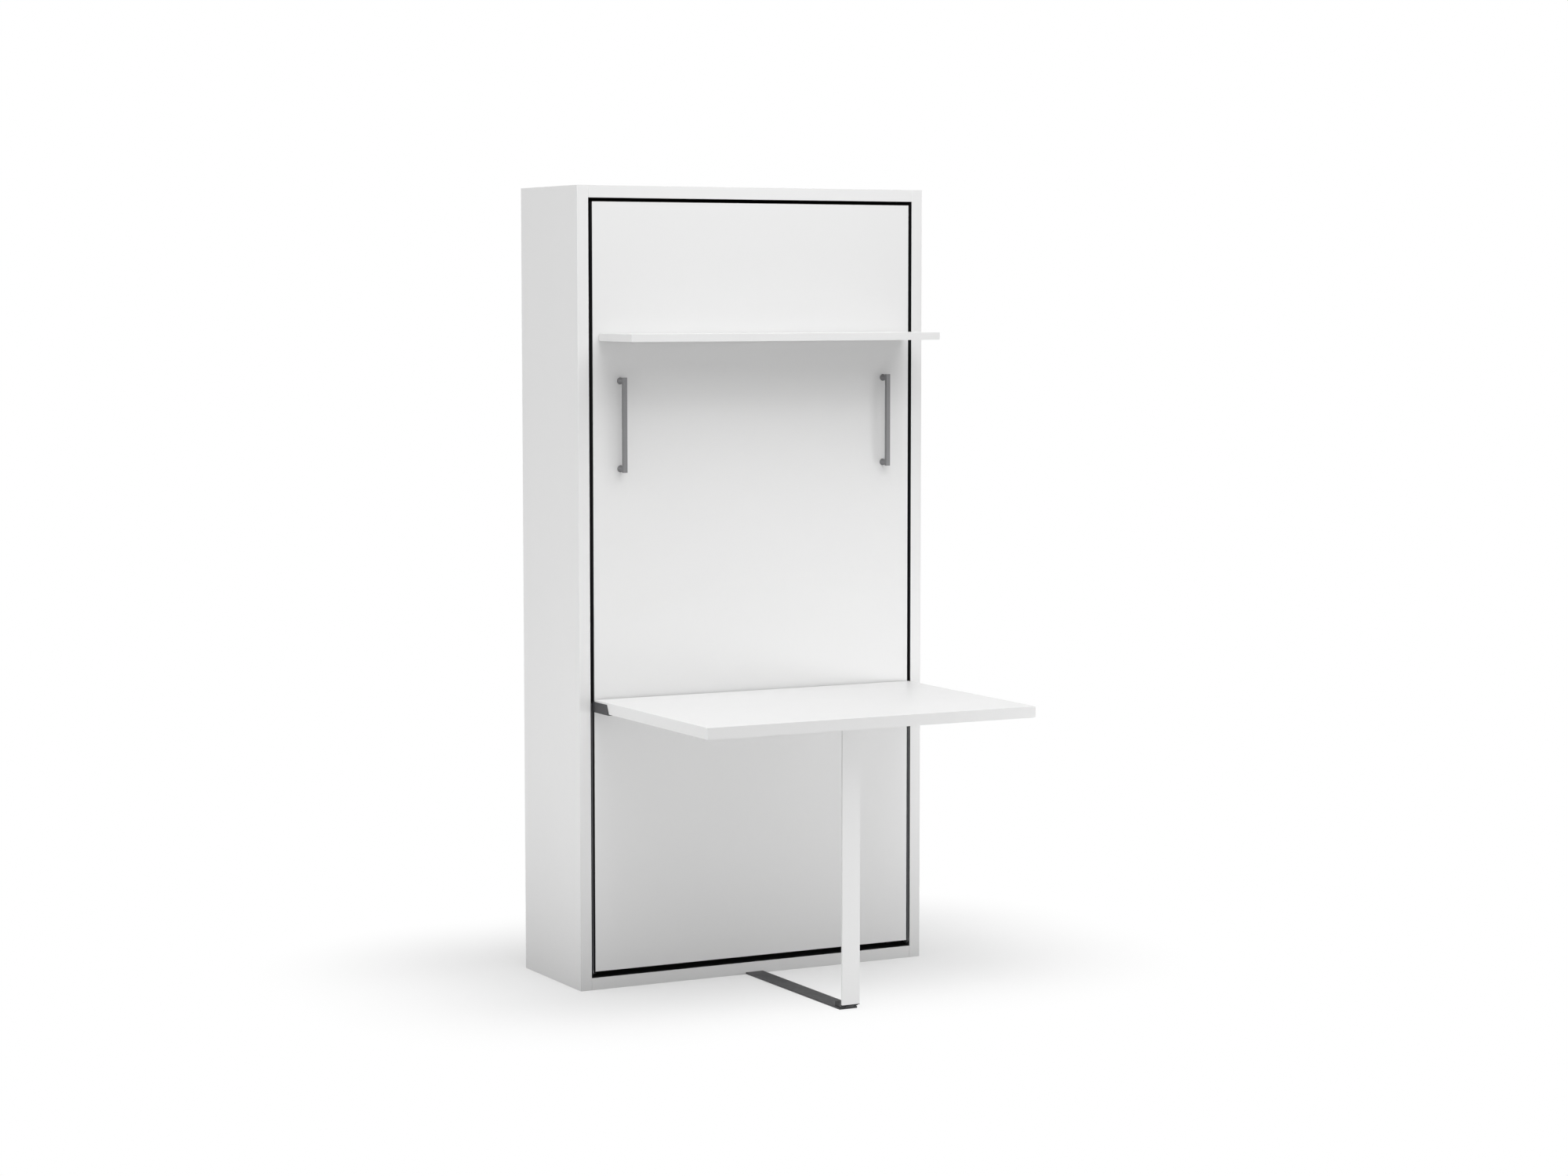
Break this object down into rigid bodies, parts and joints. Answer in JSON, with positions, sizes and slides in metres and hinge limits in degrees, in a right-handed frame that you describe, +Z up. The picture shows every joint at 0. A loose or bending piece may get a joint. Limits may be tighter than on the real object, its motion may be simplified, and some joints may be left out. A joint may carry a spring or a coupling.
{
  "type": "wall bed with fold down desk",
  "caption": "Upright wall bed cabinet with a shelf, two bar handles and a level desk on a centre leg; bed tilts down and the desk sinks level beneath it.",
  "frame": {"origin": "centre of the cabinet's footprint on the floor", "axes": "+Z up, -Y out of the front into the room, +X to the right for someone facing the front"},
  "size_m": [1.064, 1.056, 2.18],
  "materials": {
    "white_board": "smooth white melamine faced board, satin; faces inside the cabinet and the bed panel's edges anthracite",
    "back_board": "anthracite facing inside the cabinet, plain white behind, matt",
    "beech": "laminated beech, clear lacquer",
    "anthracite_steel": "anthracite powder coat, fine texture",
    "satin_steel": "satin nickel, finely brushed",
    "brushed_leg": "brushed along its length",
    "zinc_steel": "zinc plated",
    "black_steel": "black oxide, oiled",
    "black_rubber": "matt rubber",
    "black_plastic": "moulded, matt",
    "gas_black": "gloss black enamel",
    "chrome_rod": "hard chrome",
    "ticking": "knitted mattress ticking, light",
    "webbing": "woven polyester webbing"
  },
  "bodies": {
    "cabinet": {"side_panel_left": "white_board", "side_panel_right": "white_board", "top_panel": "white_board", "bottom_panel": "white_board", "back_panel": "back_board", "wall_rails": "beech", "cam_locks": "zinc_steel", "pivot_plate_left": "anthracite_steel", "pivot_plate_right": "anthracite_steel", "pivot_pins": "zinc_steel", "plate_screws": "zinc_steel", "arm_pivots": "zinc_steel", "gas_brackets": "anthracite_steel", "stop_blocks": "black_rubber", "floor_runner": "anthracite_steel", "foot_clevis": "black_plastic", "foot_pin": "black_steel", "runner_screws": "zinc_steel"},
    "bed": {"front_panel": "white_board", "frame_rail_left": "anthracite_steel", "frame_rail_right": "anthracite_steel", "frame_head_bar": "anthracite_steel", "frame_foot_bar": "anthracite_steel", "frame_cross_bars": "anthracite_steel", "frame_end_caps": "black_plastic", "panel_screws": "zinc_steel", "mattress_stop": "anthracite_steel", "slats": "beech", "slat_holders": "black_plastic", "mattress": "ticking", "mattress_straps": "webbing", "strap_buckles": "black_plastic", "shelf_board": "white_board", "shelf_rods": "zinc_steel", "handle_left": "satin_steel", "handle_right": "satin_steel", "handle_screws": "zinc_steel", "crank_plate_left": "anthracite_steel", "crank_plate_right": "anthracite_steel", "crank_bolts": "zinc_steel", "pivot_bushes": "black_plastic"},
    "arm_left": {"arm_left": "anthracite_steel"},
    "arm_right": {"arm_right": "anthracite_steel"},
    "desk": {"desk_top": "white_board", "desk_bracket_left": "anthracite_steel", "desk_bracket_right": "anthracite_steel", "desk_pins": "zinc_steel", "bracket_screws": "zinc_steel", "leg_bracket": "black_plastic", "leg_bracket_screws": "zinc_steel", "leg_top_pin": "black_steel"},
    "leg": {"leg_bar": "brushed_leg", "leg_glide": "black_plastic"},
    "gas_cylinder_left": {"gas_cylinder_left": "gas_black"},
    "gas_cylinder_right": {"gas_cylinder_right": "gas_black"},
    "gas_rod_left": {"gas_rod_left": "chrome_rod"},
    "gas_rod_right": {"gas_rod_right": "chrome_rod"}
  },
  "joints": [
    {"name": "bed_tilt", "type": "hinge", "parent": "cabinet", "child": "bed", "pos_m": [0, -0.136, 0.256], "axis": [1, 0, 0], "range_deg": [0, 90]},
    {"name": "arm_left_swing", "type": "hinge", "parent": "cabinet", "child": "arm_left", "pos_m": [-0.4945, -0.172, 0.05], "axis": [1, 0, 0], "range_deg": [0, 90]},
    {"name": "arm_right_swing", "type": "hinge", "parent": "cabinet", "child": "arm_right", "pos_m": [0.4945, -0.172, 0.05], "axis": [1, 0, 0], "range_deg": [0, 90]},
    {"name": "desk_level", "type": "hinge", "parent": "arm_left", "child": "desk", "pos_m": [0, -0.172, 0.777], "axis": [-1, 0, 0], "range_deg": [0, 90]},
    {"name": "leg_tilt", "type": "hinge", "parent": "cabinet", "child": "leg", "pos_m": [0, -0.7275, 0.013], "axis": [1, 0, 0], "range_deg": [0, 90]},
    {"name": "gas_left_swing", "type": "hinge", "parent": "cabinet", "child": "gas_cylinder_left", "pos_m": [-0.483, 0.129, 0.5], "axis": [-1, 0, 0], "range_deg": [0, 10.2]},
    {"name": "gas_left_stroke", "type": "slide", "parent": "gas_cylinder_left", "child": "gas_rod_left", "axis": [0, 0.5266, 0.8501], "range_m": [0, 0.14458]},
    {"name": "gas_right_swing", "type": "hinge", "parent": "cabinet", "child": "gas_cylinder_right", "pos_m": [0.483, 0.129, 0.5], "axis": [-1, 0, 0], "range_deg": [0, 10.2]},
    {"name": "gas_right_stroke", "type": "slide", "parent": "gas_cylinder_right", "child": "gas_rod_right", "axis": [0, 0.5266, 0.8501], "range_m": [0, 0.14458]}
  ],
  "couplings": [
    {"joint": "arm_left_swing", "follows": "bed_tilt", "ratio": 1},
    {"joint": "arm_right_swing", "follows": "bed_tilt", "ratio": 1},
    {"joint": "desk_level", "follows": "bed_tilt", "ratio": 1},
    {"joint": "leg_tilt", "follows": "bed_tilt", "ratio": 1},
    {"joint": "gas_left_swing", "follows": "bed_tilt", "ratio": 0.11326},
    {"joint": "gas_left_stroke", "follows": "bed_tilt", "m_per_rad": 0.092035},
    {"joint": "gas_right_swing", "follows": "bed_tilt", "ratio": 0.11326},
    {"joint": "gas_right_stroke", "follows": "bed_tilt", "m_per_rad": 0.092035}
  ]
}
